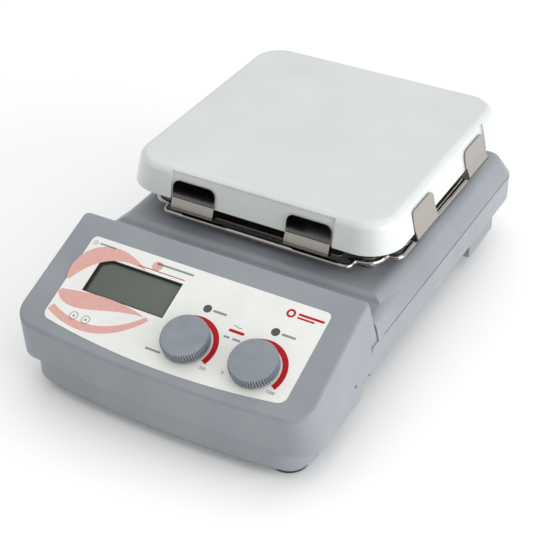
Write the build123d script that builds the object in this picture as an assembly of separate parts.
"""Hot-plate magnetic stirrer, modelled as an assembly of separate pieces.

Millimetres, +Z up, front towards -Y, origin on the bench under the middle of the whole part.
"""

from build123d import *
import math
import os

os.makedirs("parts", exist_ok=True)

# ---- overall -------------------------------------------------------------------------------
WALL = 3.0
REAR_Y = 148.0
DECK_Z = 69.5
GAP = 0.3

# ---- console: the wedge that carries the controls ---------------------------------------------
CONSOLE_LOW_Z = 24.9
CONSOLE_TOP_Z = 96.0
CONSOLE_LOW_HALF = 107.5
CONSOLE_SIDE_DRAFT = 0.054
CONSOLE_LOW_FRONT = -178.0
CONSOLE_FRONT_LEAN = 0.073
CONSOLE_LOW_BACK = -72.6
CONSOLE_BACK_LEAN = 0.307
CONSOLE_LOW_BOW = 6.4
CONSOLE_BOW_LOSS = 0.045
CONSOLE_FRONT_CORNER = 16.0
CONSOLE_BACK_CORNER = 4.5
NOTCH_Y = -107.0
NOTCH_Z = 36.0
NOTCH_ROUND = 5.0
PANEL_EDGE = 3.0
SIDE_HOLE_X, SIDE_HOLE_Y, SIDE_HOLE_Z = 107.0, -114.7, 39.3
SIDE_HOLE_R = 1.2

PANEL_SLOPE = 21.92
PANEL_Y = -107.1
PANEL_Z = 81.7

# ---- rear housing: deck, shoulders, lower walls -----------------------------------------------
CREASE_Z = 53.3
CREASE_GAP = 1.1
CREASE_DEPTH = 1.6
CREASE_FRONT_Y = -76.0
SHOULDER_LOW_HALF = 106.8
SHOULDER_TOP_HALF = 95.9
SHOULDER_ROLL = 12.0
LOWER_TOP_HALF = 106.8
LOWER_BOTTOM_HALF = 105.1
LOWER_BOTTOM_Z = 30.0
LOWER_FRONT_Y = -92.0
NECK_FRONT_Y = -84.0
NECK_BACK_Y = -40.0
NECK_FLARE_HALF = 104.0
NECK_FLARE_ROLL = 5.0
DECK_FRONT_Y = -66.5
DECK_FRONT_ROLL = 7.0
NECK_DROP = 3.5
SLANT = 1.2
LOWER_REAR_CORNER = 15.0
DECK_REAR_CORNER = 16.0

# ---- base casting -------------------------------------------------------------------------
BASE_FLOOR_Z = 9.1
BASE_FLOOR = 3.0
SKIRT_HALF = 99.8
SKIRT_FRONT = -176.9
SKIRT_BOW = 6.6
SKIRT_BACK = -112.0
SKIRT_CORNER = 20.0
TRAY_HALF = 92.0
LEDGE_HALF = 99.9
POD_FRONT = 84.0
POD_BACK = 128.0
FLANGE = 3.0
FOOT_X = 81.7
FOOT_FRONT_Y = -152.4
FOOT_REAR_Y = 108.0
FOOT_R = 13.5
FOOT_PAD_Z = 2.5

# ---- controls, in panel coordinates (u across, v down the slope) -------------------------------
LABEL_HALF = 86.5
LABEL_SIDE = 65.1
LABEL_BOW = 7.2
LABEL_THICK = 0.4
LCD_U0, LCD_U1 = -71.9, -11.5
LCD_V0, LCD_V1 = 12.95, 39.7
LCD_RIM = 0.7
LED_V = 23.5
LED_R = 2.85
HEAT_U = 12.2
STIR_U = 59.6
KNOB_V = 49.5
KNOB_R = 15.5
KNOB_LOW = 1.3
KNOB_TOP = 9.3
SHAFT_R = 3.0
SHAFT_HOLE_R = 4.5
RUNNING = 0.05
BOARD_H = -14.0

# ---- work plate and its carrier ----------------------------------------------------------------
PLATE_Y = 41.0
PLATE_TOP_Z = 112.0
PLATE_RIM_Z = 91.0
PLATE_RIM_HALF = 98.9
PLATE_DRAFT = 12.6
PLATE_CORNER = 25.6
PLATE_ROLL = 6.0
PLATE_WALL = 4.0
PLATE_CEILING_Z = 105.0
RELIEF_HALF = 60.0
RELIEF_DEPTH = 1.6
RELIEF_TOP_Z = 110.0
PAN_Z = 77.6
SHEET = 0.8
PAN_HALF = 86.5
PAN_CORNER = 15.0
WING_HALF = 95.5
WING_REACH = 71.0
WING_CORNER = 6.0
TAB_SHEET_Z = 84.4
TAB_SHEET_HALF = 96.0
TAB_SHEET_REACH = 64.5
TAB_SHEET_CORE = 84.0
TAB_OFFSET = 42.5
TAB_WIDTH = 32.0
TAB_FACE = 101.0
TAB_BEND = 2.0
TAB_LOW_Z = 87.0
TAB_LEAN_Z = 92.0
TAB_LEAN_FACE = 98.7
TAB_TOP_Z = 104.6
TAB_TOP_FACE = 96.8
TAB_ROOT = 14.0
TAB_CORNER = 5.0
POST_OFFSET = 74.5
POST_R = 5.5
WASHER_R = 6.6
WASHER_THICK = 1.2
STUD_R = 2.5
STUD_REACH = 8.0
COLLAR_R = 4.0
POST_HEAD = 2.0
INSULATION_HALF = 68.0
INSULATION_TOP_Z = 99.0
HEATER_HALF = 76.0
RIBBON_PITCH = 16.0
RIBBON_HALF = 2.0
RIBBON_LOW_Z = 103.2
PROBE_X = 62.0
PROBE_SET_BACK = 8.0
PROBE_R = 1.6
PROBE_LOW_Z = 99.5
PROBE_TOP_Z = 104.0
PROBE_LEAD_R = 3.2

# ---- drive ---------------------------------------------------------------------------------
MOTOR_R = 30.0
MOTOR_LOW_Z = 20.0
MOTOR_TOP_Z = 58.0
DRIVE_R = 4.0
DRIVE_TOP_Z = 84.0
MAGNET_WELL_R = 44.0
SHAFT_OPENING_R = 9.0
LEAD_HOLE_X, LEAD_HOLE_SET_BACK, LEAD_HOLE_R = 45.0, 30.0, 4.0
BRACKET_HALF = 40.0
BRACKET_THICK = 2.0
BRACKET_EYE_R = 8.0
BRACKET_LEG_AT = 34.0
BRACKET_LEG_R = 4.0
MOTOR_SCREW_AT = 14.0
MOTOR_SCREW_R = 1.5
MOTOR_HEAD_R = 2.8
MOTOR_HEAD = 1.8
ARM_HALF_LONG, ARM_HALF_WIDE = 32.0, 11.0
ARM_CORNER = 10.5
ARM_LOW_Z, ARM_TOP_Z = 82.0, 90.0
ARM_HUB_R = 9.0
ARM_HUB_LOW_Z = 78.2
MAGNET_AT = 21.0
MAGNET_R = 8.0
MAGNET_TALL = 6.0

# ---- electronics in the tray -------------------------------------------------------------------
BOARD_THICK = 1.6
MAIN_X0, MAIN_X1 = -80.0, 20.0
MAIN_Y0, MAIN_Y1 = -105.0, -68.0
MAIN_Z = 20.0
PILLAR_INSET = 6.0
PILLAR_R = 3.0
TRAY_FLOOR_Z = 14.1
TRANSFORMER_X0, TRANSFORMER_X1 = -75.0, -45.0
TRANSFORMER_Y0, TRANSFORMER_Y1 = -100.0, -72.0
TRANSFORMER_TOP_Z = 45.0
HEATSINK_X0, HEATSINK_X1 = -30.0, 10.0
HEATSINK_Y0, HEATSINK_Y1 = -96.0, -76.0
HEATSINK_TOP_Z = 40.0
FAN_X, FAN_Y = -28.0, -42.0
FAN_HALF = 25.0
FAN_DEEP = 12.0
FAN_DUCT_R = 23.5
FAN_STRUT = 1.5
FAN_STRUT_HALF = 1.5
FAN_HUB_R = 9.0
FAN_AXLE_R = 1.5
ROTOR_HUB_R = 8.5
ROTOR_LOW_Z, ROTOR_TOP_Z = 16.4, 25.5
BLADES = 7
BLADE_AT, BLADE_Z = 15.0, 21.0
BLADE_PITCH = 32.0
BLADE_LONG, BLADE_WIDE, BLADE_THICK = 15.0, 9.0, 1.1
SLOTS = 9
SLOT_X0, SLOT_PITCH = -60.0, 8.0
SLOT_HALF = 1.5
SLOT_Y0, SLOT_Y1 = -62.0, -22.0

# ---- rear connections ----------------------------------------------------------------------
RECESS_X0, RECESS_X1 = -32.0, 84.0
RECESS_Z0, RECESS_Z1 = 31.5, 62.0
RECESS_Y = 140.0
INLET_X = 48.0
INLET_Z = 49.5
INLET_FLANGE_HALF = 24.0
INLET_FLANGE = 3.0
INLET_FLANGE_LOW, INLET_FLANGE_HIGH = 17.0, 11.5
INLET_BOX_HALF, INLET_BOX_TALL, INLET_DEEP = 14.0, 10.5, 21.0
SOCKET_HALF, SOCKET_TALL, SOCKET_DEEP = 12.3, 8.3, 17.0
FUSE_BOX_HALF = 12.0
FUSE_BOX_LOW, FUSE_BOX_HIGH = 16.2, 12.2
FUSE_SLOT_HALF = 11.0
FUSE_SLOT_LOW, FUSE_SLOT_HIGH, FUSE_SLOT_DEEP = 15.4, 13.0, 19.0
FUSE_DROP = 14.2
FUSE_HALF, FUSE_TALL = 10.6, 0.9
FUSE_FACE_HALF, FUSE_FACE_TALL = 11.5, 1.9
FUSE_FACE_NEAR, FUSE_FACE_FAR = 3.3, 5.0
PIN_PLACES = [(-7.0, -2.0), (7.0, -2.0), (0.0, 2.0)]
PIN_HALF, PIN_TALL, PIN_TIP = 1.0, 2.0, 4.5
SENSOR_X = -10.0
SENSOR_Z = 46.0
SENSOR_RING_R, SENSOR_RING = 9.0, 3.0
SENSOR_BODY_R, SENSOR_BODY = 7.0, 14.0
SENSOR_BORE_R, SENSOR_BORE = 4.8, 12.0
ROD_X = -62.0
ROD_Y = 168.5
ROD_HOLE_R = 5.0
ROD_HOLE_DEPTH = 28.0
BOSS_BACK_Y = 179.85
BOSS_HALF = 16.0
BOSS_CORNER = 3.0
BOSS_LOW_Z, BOSS_TOP_Z = 31.0, 64.0

SWITCH_Y = -132.0
SWITCH_Z = 45.0
SWITCH_FACE_X = -104.0
SWITCH_SEAT_Y, SWITCH_SEAT_Z = 13.0, 9.0
SWITCH_FRAME_Y, SWITCH_FRAME_Z, SWITCH_FRAME = 12.5, 8.5, 1.6
SWITCH_BOX_Y, SWITCH_BOX_Z, SWITCH_BOX_DEEP = 9.9, 6.4, 14.0
SWITCH_WELL_Y, SWITCH_WELL_Z, SWITCH_WELL_DEEP = 8.9, 5.4, 11.0
SWITCH_OPENING_Y, SWITCH_OPENING_Z = 10.0, 6.5
ROCKER_PIVOT_IN = 3.0
ROCKER_HALF_Z = 5.1
ROCKER_PIN_R, ROCKER_PIN_HALF = 0.95, 6.1
ROCKER_REST = -8.0

PANEL = Plane(
    origin=(0, PANEL_Y, PANEL_Z),
    x_dir=(1, 0, 0),
    z_dir=(0, -math.sin(math.radians(PANEL_SLOPE)), math.cos(math.radians(PANEL_SLOPE))),
)


def save(name, shape):
    """Write one piece as its own STEP file."""
    export_step(shape, f"parts/{name}.step")


def block(x0, x1, y0, y1, z0, z1):
    """Axis-aligned box from its limits."""
    return Pos((x0 + x1) / 2, (y0 + y1) / 2, (z0 + z1) / 2) * Box(x1 - x0, y1 - y0, z1 - z0)


def rod(x, y, z0, z1, radius):
    """Upright cylinder between two heights."""
    return Pos(x, y, (z0 + z1) / 2) * Cylinder(radius, z1 - z0)


def beside(x, half, y0, y1, z0, z1):
    """Box that reaches equally far to both sides of x."""
    return block(x - half, x + half, y0, y1, z0, z1)


def cross_rod(x, y0, y1, z, radius):
    """Cylinder along Y between two depths."""
    return Pos(x, (y0 + y1) / 2, z) * Rot(90, 0, 0) * Cylinder(radius, y1 - y0)


def switch_block(x0, x1, deep, tall):
    """Box centred on the mains switch."""
    return block(x0, x1, SWITCH_Y - deep, SWITCH_Y + deep, SWITCH_Z - tall, SWITCH_Z + tall)


def panel_block(u0, u1, v0, v1, h0, h1):
    """Box laid on the sloping panel; h is the height above the panel's surface."""
    return PANEL * block(u0, u1, -v1, -v0, h0, h1)


def panel_rod(u, v, h0, h1, radius):
    """Cylinder square to the sloping panel."""
    return PANEL * rod(u, -v, h0, h1, radius)


def rounded(width, length, radius, z, y=0.0):
    """Rounded rectangle sketched at height z."""
    return Plane.XY.offset(z) * Pos(0, y) * RectangleRounded(width, length, radius)


def side_bar(points, x0, x1):
    """Prism along X from (y, z) points."""
    plane = Plane(origin=(x0, 0, 0), x_dir=(0, 1, 0), z_dir=(1, 0, 0))
    return extrude(plane * make_face(Polyline(*points, close=True)), x1 - x0)


# ---- housing ---------------------------------------------------------------------------------
def console_section(z, inset):
    """Plan outline of the console at height z, with a bowed front and four round corners."""
    rise = z - CONSOLE_LOW_Z
    half = CONSOLE_LOW_HALF - rise * CONSOLE_SIDE_DRAFT - inset
    front = CONSOLE_LOW_FRONT - rise * CONSOLE_FRONT_LEAN + inset
    back = CONSOLE_LOW_BACK - rise * CONSOLE_BACK_LEAN - inset
    bow = CONSOLE_LOW_BOW - rise * CONSOLE_BOW_LOSS
    with BuildSketch(Plane.XY.offset(z)) as outline:
        with BuildLine():
            ThreePointArc((-half, front + bow), (0, front), (half, front + bow))
            Polyline((half, front + bow), (half, back), (-half, back), (-half, front + bow))
        make_face()
        corners = outline.vertices().sort_by(Axis.Y)
        fillet(corners[:2], CONSOLE_FRONT_CORNER - inset)
        fillet(outline.vertices().sort_by(Axis.Y)[-2:], CONSOLE_BACK_CORNER - inset)
    return outline.sketch


def console_form(inset, low_z):
    """Console wedge: a drafted body cut by the panel's plane, offset inwards by inset."""
    body = loft([console_section(low_z, inset), console_section(CONSOLE_TOP_Z, inset)], ruled=True)
    body -= PANEL * block(-150, 150, -150, 150, -inset, 100)
    if inset == 0:
        top = body.faces().sort_by(Axis(PANEL.origin, PANEL.z_dir))[-1]
        body = fillet(top.edges(), PANEL_EDGE)
    return body - notch_form(inset)


def notch_form(inset):
    """Space cut away under the console's rear, with a rounded lower front corner."""
    y, low, high = NOTCH_Y - inset, CONSOLE_LOW_Z, NOTCH_Z + inset
    bend, y_low = NOTCH_ROUND * (1 - math.sqrt(0.5)), y - NOTCH_ROUND
    plane = Plane(origin=(-150, 0, 0), x_dir=(0, 1, 0), z_dir=(1, 0, 0))
    with BuildSketch() as outline:
        with BuildLine():
            Polyline((y, low + NOTCH_ROUND), (y, high), (0, high), (0, 0), (y_low, 0), (y_low, low))
            ThreePointArc((y_low, low), (y - bend, low + bend), (y, low + NOTCH_ROUND))
        make_face()
    return extrude(plane * outline.sketch, 300)


def long_bar(points, y0, y1):
    """Prism along Y from (x, z) points."""
    plane = Plane(origin=(0, y0, 0), x_dir=(1, 0, 0), z_dir=(0, -1, 0))
    return extrude(plane * make_face(Polyline(*points, close=True)), -(y1 - y0))


def neck_section(inset, y, top, roll):
    """Cross-section of the neck at y, with its top corners rolled."""
    low, z_top = SHOULDER_LOW_HALF - inset * SLANT, DECK_Z - NECK_DROP - inset
    face = make_face(Polyline((-low, CREASE_Z), (low, CREASE_Z), (top, z_top), (-top, z_top), close=True))
    face = fillet(face.vertices().sort_by(Axis.Y)[-2:], roll - inset)
    return Plane(origin=(0, y, 0), x_dir=(1, 0, 0), z_dir=(0, -1, 0)) * face


def neck_form(inset):
    """Low neck that blends the console's sides into the deck's shoulders."""
    run = (SHOULDER_LOW_HALF - SHOULDER_TOP_HALF) / (DECK_Z - CREASE_Z)
    top = SHOULDER_TOP_HALF - inset * SLANT + run * (inset + NECK_DROP)
    front = neck_section(inset, NECK_FRONT_Y, NECK_FLARE_HALF - inset, NECK_FLARE_ROLL)
    return loft([front, neck_section(inset, NECK_BACK_Y, top, SHOULDER_ROLL)], ruled=True)


def rear_outline(half, back, corner, z):
    """Plan of the rear housing at height z, with rounded rear corners."""
    front = DECK_FRONT_Y - 40
    points = [(-half, front), (half, front), (half, back), (-half, back)]
    face = make_face(Polyline(*points, close=True))
    return Plane.XY.offset(z) * fillet(face.vertices().sort_by(Axis.Y)[-2:], corner)


def rear_plan(inset, z0, z1):
    """Upright prism on the plan of the rear housing's lower walls."""
    outline = rear_outline(SHOULDER_LOW_HALF - inset, REAR_Y - inset, LOWER_REAR_CORNER - inset, z0)
    return extrude(outline, z1 - z0)


def deck_form(inset):
    """Raised deck block behind the console: it leans in at its sides and rear, with rolled edges."""
    level = DECK_Z - inset
    lean = (SHOULDER_LOW_HALF - SHOULDER_TOP_HALF) / (DECK_Z - CREASE_Z)
    half, back = SHOULDER_LOW_HALF - inset * SLANT, REAR_Y - inset * SLANT
    corner, climb = DECK_REAR_CORNER - inset, lean * (level - CREASE_Z)
    low = rear_outline(half, back, corner, CREASE_Z)
    high = rear_outline(half - climb, back - climb, corner - climb, level)
    body = loft([low, high], ruled=True)
    rim = body.faces().sort_by(Axis.Z)[-1].edges().sort_by(Axis.Y)[1:]
    body = fillet(rim, SHOULDER_ROLL - inset)
    floor, front = CREASE_Z - 10, DECK_FRONT_Y + inset
    face = make_face(Polyline((front, floor), (200, floor), (200, level), (front, level), close=True))
    edge = face.vertices().sort_by(Axis.X)[:2].sort_by(Axis.Y)[-1:]
    face = fillet(edge, DECK_FRONT_ROLL - inset)
    plane = Plane(origin=(-150, 0, 0), x_dir=(0, 1, 0), z_dir=(1, 0, 0))
    return body & extrude(plane * face, 300)


def lower_form(inset, low_z):
    """Lower walls of the rear housing, drafted in towards the base."""
    draft = (LOWER_TOP_HALF - LOWER_BOTTOM_HALF) / (CREASE_Z - LOWER_BOTTOM_Z)
    top = LOWER_TOP_HALF - inset
    low = LOWER_TOP_HALF - inset - draft * (CREASE_Z - low_z)
    z_top = CREASE_Z + (inset > 0)
    points = [(-low, low_z), (low, low_z), (top, z_top), (-top, z_top)]
    bar = long_bar(points, LOWER_FRONT_Y, REAR_Y - inset)
    return bar & rear_plan(inset, low_z - 1, CREASE_Z + 2)


def crease_groove():
    """Fine shadow gap between the shoulders and the lower walls."""
    low = CREASE_Z - CREASE_GAP
    ring = rear_plan(-5, low, CREASE_Z) - rear_plan(CREASE_DEPTH, low - 1, CREASE_Z + 1)
    return ring & block(-150, 150, CREASE_FRONT_Y, 200, low, CREASE_Z)


def rear_recess(grow):
    """Space of the sunk connector panel in the rear wall."""
    low, high = RECESS_Z0 - grow, RECESS_Z1 + grow
    return block(RECESS_X0 - grow, RECESS_X1 + grow, RECESS_Y - grow, 200, low, high)


def switch_recess(grow):
    """Space of the sunk seat for the mains switch in the left wall."""
    return switch_block(-130, SWITCH_FACE_X + grow, SWITCH_SEAT_Y + grow, SWITCH_SEAT_Z + grow)


def case_bosses():
    """Places of the screws that hold the base: x, y, height of the flange's top."""
    console = [(x, -168.5, CONSOLE_LOW_Z + FLANGE) for x in (-60.0, 60.0)]
    rear = [(x, y, LOWER_BOTTOM_Z + FLANGE) for x in (-97.0, 97.0) for y in (-20.0, 70.0)]
    return console + rear


def board_bosses():
    """Places of the display board's screws in panel coordinates."""
    return [(u, v) for u in (-84.0, 84.0) for v in (6.0, 60.0)]


def make_upper_housing():
    """One hollow casting: console, neck, deck block and lower walls."""
    outer = console_form(0, CONSOLE_LOW_Z) + lower_form(0, LOWER_BOTTOM_Z)
    outer += neck_form(0)
    outer += deck_form(0)
    inner = console_form(WALL, CONSOLE_LOW_Z - 5) + lower_form(WALL, LOWER_BOTTOM_Z - 5)
    inner += block(-100, 100, NOTCH_Y - 10, LOWER_FRONT_Y + 10, 0, 45)
    inner += neck_form(WALL)
    inner += deck_form(WALL)
    inner -= rear_recess(WALL)
    inner -= switch_recess(WALL)
    solid = outer - rear_recess(0) - switch_recess(0) - crease_groove()
    solid -= Pos(SIDE_HOLE_X, SIDE_HOLE_Y, SIDE_HOLE_Z) * Rot(0, 90, 0) * Cylinder(SIDE_HOLE_R, 4)
    shell = solid - inner
    enclosed = console_and_deck(1.0)
    for x, y, z in case_bosses():
        if y < PANEL_Y:
            boss = rod(x, y, z, 41, 4.5) + block(x - 2, x + 2, y - 10, y, z, 41)
        else:
            boss = rod(x, y, z, 90, 4.5)
        shell += (boss & enclosed) - rod(x, y, z, z + 13, 1.6)
    for u, v in board_bosses():
        shell += panel_rod(u, v, BOARD_H, -1.0, 3.5) - panel_rod(u, v, BOARD_H, BOARD_H + 8, 1.2)
    for u in (HEAT_U, STIR_U):
        shell -= panel_rod(u, KNOB_V, -10, 10, SHAFT_HOLE_R)
        shell -= panel_rod(u, LED_V, -10, 10, LED_R)
    shell -= panel_block(LCD_U0, LCD_U1, LCD_V0, LCD_V1, -10, 10)
    shell -= rod(0, PLATE_Y, 60, 80, SHAFT_OPENING_R)
    shell -= rod(LEAD_HOLE_X, PLATE_Y + LEAD_HOLE_SET_BACK, 60, 80, LEAD_HOLE_R)
    for x, y in post_places():
        shell -= rod(x, y, 60, 80, STUD_R)
    shell -= beside(INLET_X, INLET_BOX_HALF, 130, 170, INLET_Z - INLET_BOX_TALL, INLET_Z + INLET_BOX_TALL)
    shell -= beside(INLET_X, FUSE_BOX_HALF, 130, 170, INLET_Z - FUSE_BOX_LOW, INLET_Z - FUSE_BOX_HIGH)
    shell -= cross_rod(SENSOR_X, 135, 165, SENSOR_Z, SENSOR_BODY_R)
    return shell - switch_block(-115, -95, SWITCH_OPENING_Y, SWITCH_OPENING_Z)


def console_and_deck(inset):
    """Space enclosed by the housing, used to trim bosses."""
    return console_form(inset, CONSOLE_LOW_Z) + lower_form(inset, LOWER_BOTTOM_Z) + deck_form(inset)


# ---- base ------------------------------------------------------------------------------------
def skirt_form(inset, z0, z1):
    """Front part of the base: bowed front, round corners."""
    half = SKIRT_HALF - inset
    front = SKIRT_FRONT + inset
    back = SKIRT_BACK - inset
    with BuildSketch(Plane.XY.offset(z0)) as outline:
        with BuildLine():
            ThreePointArc((-half, front + SKIRT_BOW), (0, front), (half, front + SKIRT_BOW))
            Polyline((half, front + SKIRT_BOW), (half, back), (-half, back), (-half, front + SKIRT_BOW))
        make_face()
        fillet(outline.vertices().sort_by(Axis.Y)[:2], SKIRT_CORNER - inset)
        fillet(outline.vertices().sort_by(Axis.Y)[-2:], 6 - inset)
    return extrude(outline.sketch, z1 - z0)


def foot_places():
    """Feet by name and place."""
    return {
        "foot_front_left": (-FOOT_X, FOOT_FRONT_Y),
        "foot_front_right": (FOOT_X, FOOT_FRONT_Y),
        "foot_rear_left": (-FOOT_X, FOOT_REAR_Y),
        "foot_rear_right": (FOOT_X, FOOT_REAR_Y),
    }


def make_base():
    """Open tray under the housing, with its flange, front skirt, rear pods and legs."""
    top = LOWER_BOTTOM_Z + FLANGE
    low_top = CONSOLE_LOW_Z + FLANGE
    tray = block(-TRAY_HALF, TRAY_HALF, SKIRT_BACK - 8, POD_BACK, BASE_FLOOR_Z + 2, top)
    pods = [block(s * 90 - 9.8, s * 90 + 9.8, POD_FRONT, POD_BACK, BASE_FLOOR_Z, top) for s in (-1, 1)]
    console_flange = console_form(WALL + GAP, CONSOLE_LOW_Z)
    console_flange &= block(-150, 150, -200, NOTCH_Y - 4, 0, low_top)
    rear_flange = lower_form(WALL + GAP, LOWER_BOTTOM_Z) & block(-150, 150, -200, 200, 0, top)
    rear_flange -= block(RECESS_X0 - WALL - 1, RECESS_X1 + WALL + 1, POD_BACK, 200, 0, 60)
    solid = skirt_form(0, BASE_FLOOR_Z, CONSOLE_LOW_Z) + tray + console_flange + rear_flange
    solid += block(-LEDGE_HALF, LEDGE_HALF, SKIRT_BACK, LOWER_FRONT_Y + 1, top, NOTCH_Z)
    for pod in pods:
        solid += pod
    for x, y in foot_places().values():
        solid += rod(x, y, FOOT_PAD_Z, BASE_FLOOR_Z + 3, FOOT_R)
    floor = BASE_FLOOR_Z + BASE_FLOOR
    solid -= skirt_form(WALL, floor, low_top + 20)
    solid -= beside(0, TRAY_HALF - WALL, SKIRT_BACK - 20, POD_BACK - WALL, floor + 2, top + 20)
    for s in (-1, 1):
        solid -= block(s * 90 - 6.8, s * 90 + 6.8, POD_FRONT + WALL, POD_BACK - WALL, floor, top + 20)
    for x, y in foot_places().values():
        solid += rod(x, y, FOOT_PAD_Z, floor + 6, 5.0)
        solid -= rod(x, y, 0, floor + 6, 1.8)
    for x, y, z in case_bosses():
        solid -= rod(x, y, 0, z, 1.6)
        solid -= rod(x, y, 0, z - FLANGE, 3.6)
    for k in range(SLOTS):
        solid -= beside(SLOT_X0 + k * SLOT_PITCH, SLOT_HALF, SLOT_Y0, SLOT_Y1, 0, 20)
    return solid


def make_foot(x, y):
    """Rubber foot pad with its screw recess."""
    pad = rod(x, y, 0, FOOT_PAD_Z, FOOT_R - 1.0)
    return pad - rod(x, y, 0, 1.4, 3.6) - rod(x, y, 0, 10, 1.8)


def make_foot_screws():
    """Screws that hold the foot pads."""
    return [rod(x, y, 0.4, 1.4, 3.2) + rod(x, y, 1.4, 14, 1.8) for x, y in foot_places().values()]


def make_case_screws():
    """Screws that hold the base to the housing."""
    screws = []
    for x, y, z in case_bosses():
        low = z - FLANGE
        screws.append(rod(x, y, low - 2.2, low, 3.2) + rod(x, y, low, z + 12, 1.6))
    return screws


# ---- controls --------------------------------------------------------------------------------
def make_overlay():
    """Thin label sheet laid on the panel, with its openings."""
    side = LABEL_SIDE
    with BuildSketch() as outline:
        with BuildLine():
            Polyline((-LABEL_HALF, -side), (-LABEL_HALF, 0), (LABEL_HALF, 0), (LABEL_HALF, -side))
            ThreePointArc((LABEL_HALF, -side), (0, -side - LABEL_BOW), (-LABEL_HALF, -side))
        make_face()
        fillet(outline.vertices().sort_by(Axis.Y)[-2:], 3.5)
        fillet(outline.vertices().sort_by(Axis.Y)[:2], 6.0)
    sheet = PANEL * extrude(outline.sketch, LABEL_THICK)
    sheet -= panel_block(LCD_U0, LCD_U1, LCD_V0, LCD_V1, -1, 2)
    for u in (HEAT_U, STIR_U):
        sheet -= panel_rod(u, KNOB_V, -1, 2, SHAFT_HOLE_R)
        sheet -= panel_rod(u, LED_V, -1, 2, LED_R)
    return sheet


def make_lcd_frame():
    """Black liner of the display opening."""
    ring = panel_block(LCD_U0, LCD_U1, LCD_V0, LCD_V1, -WALL, LABEL_THICK)
    return ring - panel_block(*lcd_window(), -10, 10)


def lcd_window():
    """Limits of the display inside its liner."""
    return LCD_U0 + LCD_RIM, LCD_U1 - LCD_RIM, LCD_V0 + LCD_RIM, LCD_V1 - LCD_RIM


def make_knob(u):
    """Flat cylindrical knob with a chamfered face and a blind hole for its shaft."""
    body = rod(u, -KNOB_V, KNOB_LOW, KNOB_TOP, KNOB_R)
    body = chamfer(body.edges().filter_by(GeomType.CIRCLE).sort_by(Axis.Z)[-1], 0.6)
    body -= rod(u, -KNOB_V, 0, KNOB_TOP - 2.5, SHAFT_R)
    body -= rod(u, -KNOB_V, 0, KNOB_LOW + 1.5, KNOB_R - 2.5) - rod(u, -KNOB_V, 0, 5, 5.5)
    return PANEL * body


def make_shaft(u):
    """Control shaft that turns and pushes with its knob."""
    return panel_rod(u, KNOB_V, -11.0, KNOB_TOP - 2.5, SHAFT_R)


def make_encoder(u):
    """Encoder can under the panel, with its guide bore."""
    can = panel_block(u - 7, u + 7, KNOB_V - 7, KNOB_V + 7, BOARD_H, -4.2)
    return can - panel_rod(u, KNOB_V, -12.5, 0, 4.6)


def make_plunger(u):
    """Sleeve of the push switch that the shaft turns in."""
    return panel_rod(u, KNOB_V, -10.4, -5.4, 4.55) - panel_rod(u, KNOB_V, -12, 0, SHAFT_R + RUNNING)


def make_display_board():
    """Control board under the panel."""
    board = panel_block(-90, 90, 2, 64, BOARD_H - BOARD_THICK, BOARD_H)
    for u, v in board_bosses():
        board -= panel_rod(u, v, -20, 0, 1.2)
    return board


def make_board_screws():
    """Screws that hold the control board."""
    low = BOARD_H - BOARD_THICK
    screws = []
    for u, v in board_bosses():
        screws.append(panel_rod(u, v, low - 1.8, low, 2.4) + panel_rod(u, v, low, low + 8, 1.2))
    return screws


def make_switch_body():
    """Frame and box of the mains switch in the left wall."""
    x = SWITCH_FACE_X
    body = switch_block(x - SWITCH_FRAME, x, SWITCH_FRAME_Y, SWITCH_FRAME_Z)
    body += switch_block(x, x + SWITCH_BOX_DEEP, SWITCH_BOX_Y, SWITCH_BOX_Z)
    body -= switch_block(x - 5, x + SWITCH_WELL_DEEP, SWITCH_WELL_Y, SWITCH_WELL_Z)
    low, high = SWITCH_Z - ROCKER_PIN_HALF - 0.1, SWITCH_Z + ROCKER_PIN_HALF + 0.1
    return body - rod(x + ROCKER_PIVOT_IN, SWITCH_Y, low, high, ROCKER_PIN_R + RUNNING)


def make_rocker():
    """Rocker of the mains switch, resting with its front end pressed in."""
    x = SWITCH_FACE_X + ROCKER_PIVOT_IN
    points = [(x - 5.2, -8.0), (x - 3.9, 0), (x - 5.2, 8.0), (x + 1.5, 7.6), (x + 4.5, 0), (x + 1.5, -7.6)]
    plane = Plane.XY.offset(SWITCH_Z - ROCKER_HALF_Z)
    body = extrude(plane * make_face(Polyline(*points, close=True)), 2 * ROCKER_HALF_Z)
    body = Pos(0, SWITCH_Y, 0) * body
    body += rod(x, SWITCH_Y, SWITCH_Z - ROCKER_PIN_HALF, SWITCH_Z + ROCKER_PIN_HALF, ROCKER_PIN_R)
    tilt = Pos(x, SWITCH_Y, 0) * Rot(0, 0, ROCKER_REST) * Pos(-x, -SWITCH_Y, 0)
    return tilt * body


# ---- work plate ------------------------------------------------------------------------------
def plate_taper(half, corner, z0, z1):
    """Square block that narrows upwards at the skirt's draft."""
    return extrude(rounded(2 * half, 2 * half, corner, z0, PLATE_Y), z1 - z0, taper=PLATE_DRAFT)


def around_plate(piece):
    """Repeat a piece made for the -Y side on all four sides of the plate."""
    centre = Pos(0, PLATE_Y, 0)
    back = Pos(0, -PLATE_Y, 0)
    return [centre * Rot(0, 0, 90 * k) * back * piece for k in range(4)]


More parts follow.
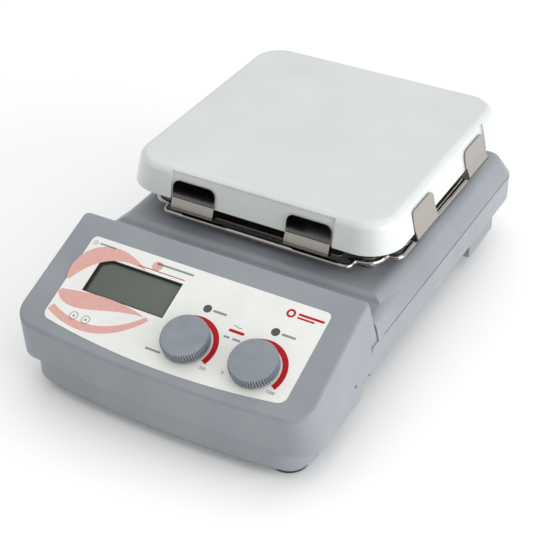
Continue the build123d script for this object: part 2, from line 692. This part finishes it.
def make_work_plate():
    """Ceramic-faced plate with a downturned skirt and a shallow relief on each side."""
    plate = plate_taper(PLATE_RIM_HALF, PLATE_CORNER, PLATE_RIM_Z, PLATE_TOP_Z)
    top = plate.faces().sort_by(Axis.Z)[-1]
    plate = fillet(top.edges(), PLATE_ROLL)
    lean = math.tan(math.radians(PLATE_DRAFT))
    face_y = PLATE_Y - PLATE_RIM_HALF + RELIEF_DEPTH
    rise = RELIEF_TOP_Z - PLATE_RIM_Z
    points = [(face_y - 20, PLATE_RIM_Z - 2), (face_y - 2 * lean, PLATE_RIM_Z - 2),
              (face_y + rise * lean, RELIEF_TOP_Z), (face_y - 20, RELIEF_TOP_Z)]
    for cutter in around_plate(side_bar(points, -RELIEF_HALF, RELIEF_HALF)):
        plate -= cutter
    hollow_corner = PLATE_CORNER - PLATE_WALL
    return plate - plate_taper(PLATE_RIM_HALF - PLATE_WALL, hollow_corner, PLATE_RIM_Z, PLATE_CEILING_Z)


def tab_profile():
    """Side view of one tab on the -Y side, as (y, z) points: sheet, bend, upright, lean."""
    face, lean, top = PLATE_Y - TAB_FACE, PLATE_Y - TAB_LEAN_FACE, PLATE_Y - TAB_TOP_FACE
    low = TAB_SHEET_Z - SHEET
    outer = [(face + TAB_BEND, low), (face, low + TAB_BEND), (face, TAB_LOW_Z)]
    outer += [(lean, TAB_LEAN_Z), (top, TAB_TOP_Z)]
    inner = [(top + SHEET, TAB_TOP_Z), (lean + SHEET, TAB_LEAN_Z), (face + SHEET, TAB_LOW_Z),
             (face + SHEET, low + TAB_BEND), (face + TAB_BEND, TAB_SHEET_Z)]
    return outer + inner + [(face + TAB_ROOT, TAB_SHEET_Z), (face + TAB_ROOT, low)]


def make_tab(centre_x):
    """One upstanding tab with rounded upper corners."""
    bar = side_bar(tab_profile(), centre_x - TAB_WIDTH / 2, centre_x + TAB_WIDTH / 2)
    front = Plane(origin=(0, -200, 0), x_dir=(1, 0, 0), z_dir=(0, -1, 0))
    middle = (TAB_TOP_Z + 20) / 2
    window = front * Pos(centre_x, middle) * RectangleRounded(TAB_WIDTH, TAB_TOP_Z - 20, TAB_CORNER)
    return bar & extrude(window, -400)


def cross_sheet(core, corner, half, reach, wing_corner, top):
    """Flat sheet with a wing on each side and the well for the turning magnet."""
    sheet = extrude(rounded(2 * core, 2 * core, corner, top - SHEET, PLATE_Y), SHEET)
    wing = extrude(rounded(2 * reach, 2 * half, wing_corner, top - SHEET, PLATE_Y), SHEET)
    sheet += wing
    sheet += around_plate(wing)[1]
    sheet -= rod(0, PLATE_Y, 60, 90, MAGNET_WELL_R)
    for x, y in post_places():
        sheet -= rod(x, y, 60, 90, STUD_R)
    return sheet


def make_reflector():
    """Lower sheet that keeps the plate's heat off the deck."""
    return cross_sheet(PAN_HALF, PAN_CORNER, WING_HALF, WING_REACH, WING_CORNER, PAN_Z)


def make_tab_sheet():
    """Upper sheet whose eight tabs hold the plate by its skirt."""
    sheet = cross_sheet(TAB_SHEET_CORE, PAN_CORNER, TAB_SHEET_HALF, TAB_SHEET_REACH, 2.0, TAB_SHEET_Z)
    for x in (-TAB_OFFSET, TAB_OFFSET):
        for tab in around_plate(make_tab(x)):
            sheet += tab
    return sheet


def post_places():
    """Stand-offs under the corners of the carrier."""
    return [(x, PLATE_Y + y) for x in (-POST_OFFSET, POST_OFFSET) for y in (-POST_OFFSET, POST_OFFSET)]


def make_post(x, y):
    """Stand-off: washer foot, stud through the deck, collar between the sheets, screw head on top."""
    post = rod(x, y, DECK_Z, DECK_Z + WASHER_THICK, WASHER_R) + rod(x, y, DECK_Z, PAN_Z - SHEET, POST_R)
    post += rod(x, y, DECK_Z - STUD_REACH, TAB_SHEET_Z, STUD_R)
    post += rod(x, y, PAN_Z, TAB_SHEET_Z - SHEET, COLLAR_R)
    return post + rod(x, y, TAB_SHEET_Z, TAB_SHEET_Z + POST_HEAD, COLLAR_R)


def make_insulation():
    """Ceramic-fibre block between the tab sheet and the heater, with a well for the turning magnet."""
    pad = square_block(INSULATION_HALF, TAB_SHEET_Z, INSULATION_TOP_Z)
    pad -= rod(0, PLATE_Y, 70, 110, MAGNET_WELL_R)
    return pad - rod(PROBE_X, PLATE_Y, 70, 110, PROBE_LEAD_R)


def make_heater():
    """Mica-clad heating element with a meander of ribbon channels."""
    heater = square_block(HEATER_HALF, INSULATION_TOP_Z, PLATE_CEILING_Z)
    for k in range(-4, 5):
        y = PLATE_Y + k * RIBBON_PITCH
        low, high = y - RIBBON_HALF, y + RIBBON_HALF
        heater -= beside(0, INSULATION_HALF, low, high, RIBBON_LOW_Z, PLATE_CEILING_Z)
    return heater - rod(PROBE_X, PLATE_Y + PROBE_SET_BACK, 90, PROBE_TOP_Z, PROBE_R)


def make_temperature_probe():
    """Sensing tip that touches the plate's underside through the heater."""
    return rod(PROBE_X, PLATE_Y + PROBE_SET_BACK, PROBE_LOW_Z, PROBE_TOP_Z, PROBE_R)


# ---- drive -----------------------------------------------------------------------------------
def bracket_places(reach):
    """Four fixing points around the drive axis."""
    return [(x, PLATE_Y + y) for x in (-reach, reach) for y in (-reach, reach)]


def square_block(half, z0, z1):
    """Square slab centred on the plate's axis."""
    return block(-half, half, PLATE_Y - half, PLATE_Y + half, z0, z1)


def make_motor_can():
    """Drive motor body with its bearing bore."""
    can = rod(0, PLATE_Y, MOTOR_LOW_Z, MOTOR_TOP_Z, MOTOR_R)
    can -= rod(0, PLATE_Y, MOTOR_LOW_Z + 4, 90, DRIVE_R + RUNNING)
    for x, y in bracket_places(MOTOR_SCREW_AT):
        can -= rod(x, y, MOTOR_TOP_Z - 6, 90, MOTOR_SCREW_R)
    return can


def make_motor_bracket():
    """Plate that hangs the motor from the deck on four legs."""
    top = MOTOR_TOP_Z + BRACKET_THICK
    plate = square_block(BRACKET_HALF, MOTOR_TOP_Z, top) - rod(0, PLATE_Y, 50, 70, BRACKET_EYE_R)
    for x, y in bracket_places(BRACKET_LEG_AT):
        plate += rod(x, y, top, DECK_Z - WALL, BRACKET_LEG_R)
    for x, y in bracket_places(MOTOR_SCREW_AT):
        plate -= rod(x, y, 50, 70, MOTOR_SCREW_R)
    return plate


def make_motor_screws():
    """Screws that fix the motor to its bracket."""
    top = MOTOR_TOP_Z + BRACKET_THICK
    screws = []
    for x, y in bracket_places(MOTOR_SCREW_AT):
        shank = rod(x, y, top - 7.5, top, MOTOR_SCREW_R)
        screws.append(rod(x, y, top, top + MOTOR_HEAD, MOTOR_HEAD_R) + shank)
    return screws


def make_magnet_carrier():
    """Aluminium arm on the drive shaft that carries the two magnets."""
    arm = beside(0, ARM_HALF_LONG, PLATE_Y - ARM_HALF_WIDE, PLATE_Y + ARM_HALF_WIDE, ARM_LOW_Z, ARM_TOP_Z)
    arm = fillet(arm.edges().filter_by(Axis.Z), ARM_CORNER)
    arm += rod(0, PLATE_Y, ARM_HUB_LOW_Z, DRIVE_TOP_Z, ARM_HUB_R)
    return arm - rod(0, PLATE_Y, 60, DRIVE_TOP_Z, DRIVE_R)


def make_drive_magnets():
    """Two disc magnets standing on the arm."""
    return [rod(x, PLATE_Y, ARM_TOP_Z, ARM_TOP_Z + MAGNET_TALL, MAGNET_R) for x in (-MAGNET_AT, MAGNET_AT)]


# ---- electronics in the tray -------------------------------------------------------------------
def make_main_board():
    """Mains and drive board standing on pillars in the tray."""
    board = block(MAIN_X0, MAIN_X1, MAIN_Y0, MAIN_Y1, MAIN_Z, MAIN_Z + BOARD_THICK)
    for x in (MAIN_X0 + PILLAR_INSET, MAIN_X1 - PILLAR_INSET):
        for y in (MAIN_Y0 + PILLAR_INSET, MAIN_Y1 - PILLAR_INSET):
            board += rod(x, y, TRAY_FLOOR_Z, MAIN_Z, PILLAR_R)
    return board


def make_transformer():
    """Plain block for the transformer on the main board."""
    low = MAIN_Z + BOARD_THICK
    return block(TRANSFORMER_X0, TRANSFORMER_X1, TRANSFORMER_Y0, TRANSFORMER_Y1, low, TRANSFORMER_TOP_Z)


def make_heatsink():
    """Plain block for the heatsink on the main board."""
    low = MAIN_Z + BOARD_THICK
    return block(HEATSINK_X0, HEATSINK_X1, HEATSINK_Y0, HEATSINK_Y1, low, HEATSINK_TOP_Z)


def make_fan_frame():
    """Square cooling-fan frame lying over the floor slots."""
    low, strut_top = TRAY_FLOOR_Z, TRAY_FLOOR_Z + FAN_STRUT
    frame = beside(FAN_X, FAN_HALF, FAN_Y - FAN_HALF, FAN_Y + FAN_HALF, low, low + FAN_DEEP)
    frame -= rod(FAN_X, FAN_Y, 10, 30, FAN_DUCT_R)
    frame += rod(FAN_X, FAN_Y, low, strut_top, FAN_HUB_R)
    frame += beside(FAN_X, FAN_HALF - 1, FAN_Y - FAN_STRUT_HALF, FAN_Y + FAN_STRUT_HALF, low, strut_top)
    return frame - rod(FAN_X, FAN_Y, low + 0.5, 40, FAN_AXLE_R + RUNNING)


def make_fan_rotor():
    """Fan hub with seven pitched blades and a short axle."""
    rotor = rod(FAN_X, FAN_Y, ROTOR_LOW_Z, ROTOR_TOP_Z, ROTOR_HUB_R)
    rotor += rod(FAN_X, FAN_Y, TRAY_FLOOR_Z + 0.6, ROTOR_LOW_Z + 0.6, FAN_AXLE_R)
    blade = Pos(BLADE_AT, 0, BLADE_Z) * Rot(BLADE_PITCH, 0, 0) * Box(BLADE_LONG, BLADE_WIDE, BLADE_THICK)
    for k in range(BLADES):
        rotor += Pos(FAN_X, FAN_Y, 0) * Rot(0, 0, k * 360 / BLADES) * blade
    return rotor


# ---- rear fittings ---------------------------------------------------------------------------
def make_power_inlet():
    """Mains inlet: flange, box and plug socket, with a slot below for the fuse drawer."""
    x, z, y = INLET_X, INLET_Z, RECESS_Y
    body = beside(x, INLET_FLANGE_HALF, y, y + INLET_FLANGE, z - INLET_FLANGE_LOW, z + INLET_FLANGE_HIGH)
    body += beside(x, INLET_BOX_HALF, y - INLET_DEEP, y, z - INLET_BOX_TALL, z + INLET_BOX_TALL)
    body += beside(x, FUSE_BOX_HALF, y - INLET_DEEP, y, z - FUSE_BOX_LOW, z - FUSE_BOX_HIGH)
    body -= beside(x, SOCKET_HALF, y - SOCKET_DEEP, y + 10, z - SOCKET_TALL, z + SOCKET_TALL)
    low, high = z - FUSE_SLOT_LOW, z - FUSE_SLOT_HIGH
    return body - beside(x, FUSE_SLOT_HALF, y - FUSE_SLOT_DEEP, y + 10, low, high)


def make_inlet_pins():
    """Three flat contact pins of the mains inlet."""
    pins = []
    for u, w in PIN_PLACES:
        low, high = INLET_Z + w - PIN_TALL, INLET_Z + w + PIN_TALL
        pins.append(beside(INLET_X + u, PIN_HALF, RECESS_Y - SOCKET_DEEP, RECESS_Y - PIN_TIP, low, high))
    return pins


def make_fuse_drawer():
    """Fuse drawer that slides out under the plug socket."""
    x, z, y = INLET_X, INLET_Z - FUSE_DROP, RECESS_Y
    face, front = y + FUSE_FACE_NEAR, y + FUSE_FACE_FAR
    drawer = beside(x, FUSE_HALF, y - SOCKET_DEEP, face, z - FUSE_TALL, z + FUSE_TALL)
    return drawer + beside(x, FUSE_FACE_HALF, face, front, z - FUSE_FACE_TALL, z + FUSE_FACE_TALL)


def make_sensor_socket():
    """Round socket for an external temperature probe."""
    ring = cross_rod(SENSOR_X, RECESS_Y, RECESS_Y + SENSOR_RING, SENSOR_Z, SENSOR_RING_R)
    ring += cross_rod(SENSOR_X, RECESS_Y - SENSOR_BODY, RECESS_Y, SENSOR_Z, SENSOR_BODY_R)
    bottom = RECESS_Y + SENSOR_RING - SENSOR_BORE
    return ring - cross_rod(SENSOR_X, bottom, RECESS_Y + SENSOR_RING, SENSOR_Z, SENSOR_BORE_R)


def make_rod_boss():
    """Block on the rear wall with the upright socket for a support rod."""
    face = rounded(2 * BOSS_HALF, BOSS_BACK_Y - REAR_Y, BOSS_CORNER, BOSS_LOW_Z, (REAR_Y + BOSS_BACK_Y) / 2)
    body = Pos(ROD_X, 0, 0) * extrude(face, BOSS_TOP_Z - BOSS_LOW_Z)
    body += beside(ROD_X, BOSS_HALF, REAR_Y, REAR_Y + 2 * BOSS_CORNER, BOSS_LOW_Z, BOSS_TOP_Z)
    body -= deck_form(-RUNNING) + lower_form(-RUNNING, 20)
    return body - rod(ROD_X, ROD_Y, BOSS_TOP_Z - ROD_HOLE_DEPTH, 80, ROD_HOLE_R)


def main():
    save("upper_housing", make_upper_housing())
    save("base_pan", make_base())
    for name, (x, y) in foot_places().items():
        save(name, make_foot(x, y))
    save("foot_screws", Compound(make_foot_screws()))
    save("case_screws", Compound(make_case_screws()))

    save("control_overlay", make_overlay())
    save("lcd_frame", make_lcd_frame())
    save("lcd_glass", panel_block(*lcd_window(), -WALL, -1.6))
    save("lcd_module", panel_block(LCD_U0 - 3, LCD_U1 + 3, LCD_V0 - 4, LCD_V1 + 4, BOARD_H, -WALL))
    save("display_board", make_display_board())
    save("board_screws", Compound(make_board_screws()))
    for name, u in (("heat", HEAT_U), ("stir", STIR_U)):
        save(f"{name}_led", panel_rod(u, LED_V, -5, LABEL_THICK, LED_R))
        save(f"{name}_knob", make_knob(u))
        save(f"{name}_shaft", make_shaft(u))
        save(f"{name}_plunger", make_plunger(u))
        save(f"{name}_encoder", make_encoder(u))
    save("switch_body", make_switch_body())
    save("power_rocker", make_rocker())

    save("work_plate", make_work_plate())
    save("reflector", make_reflector())
    save("tab_sheet", make_tab_sheet())
    for k, (x, y) in enumerate(post_places()):
        save(f"plate_post_{k + 1}", make_post(x, y))
    save("insulation", make_insulation())
    save("heater", make_heater())
    save("temperature_probe", make_temperature_probe())

    save("motor_can", make_motor_can())
    save("motor_bracket", make_motor_bracket())
    save("motor_screws", Compound(make_motor_screws()))
    save("motor_shaft", rod(0, PLATE_Y, MOTOR_LOW_Z + 6, DRIVE_TOP_Z, DRIVE_R))
    save("magnet_carrier", make_magnet_carrier())
    save("drive_magnets", Compound(make_drive_magnets()))

    save("main_board", make_main_board())
    save("transformer", make_transformer())
    save("heatsink", make_heatsink())
    save("fan_frame", make_fan_frame())
    save("fan_rotor", make_fan_rotor())

    save("power_inlet", make_power_inlet())
    save("inlet_pins", Compound(make_inlet_pins()))
    save("fuse_drawer", make_fuse_drawer())
    save("sensor_socket", make_sensor_socket())
    save("rod_boss", make_rod_boss())


main()
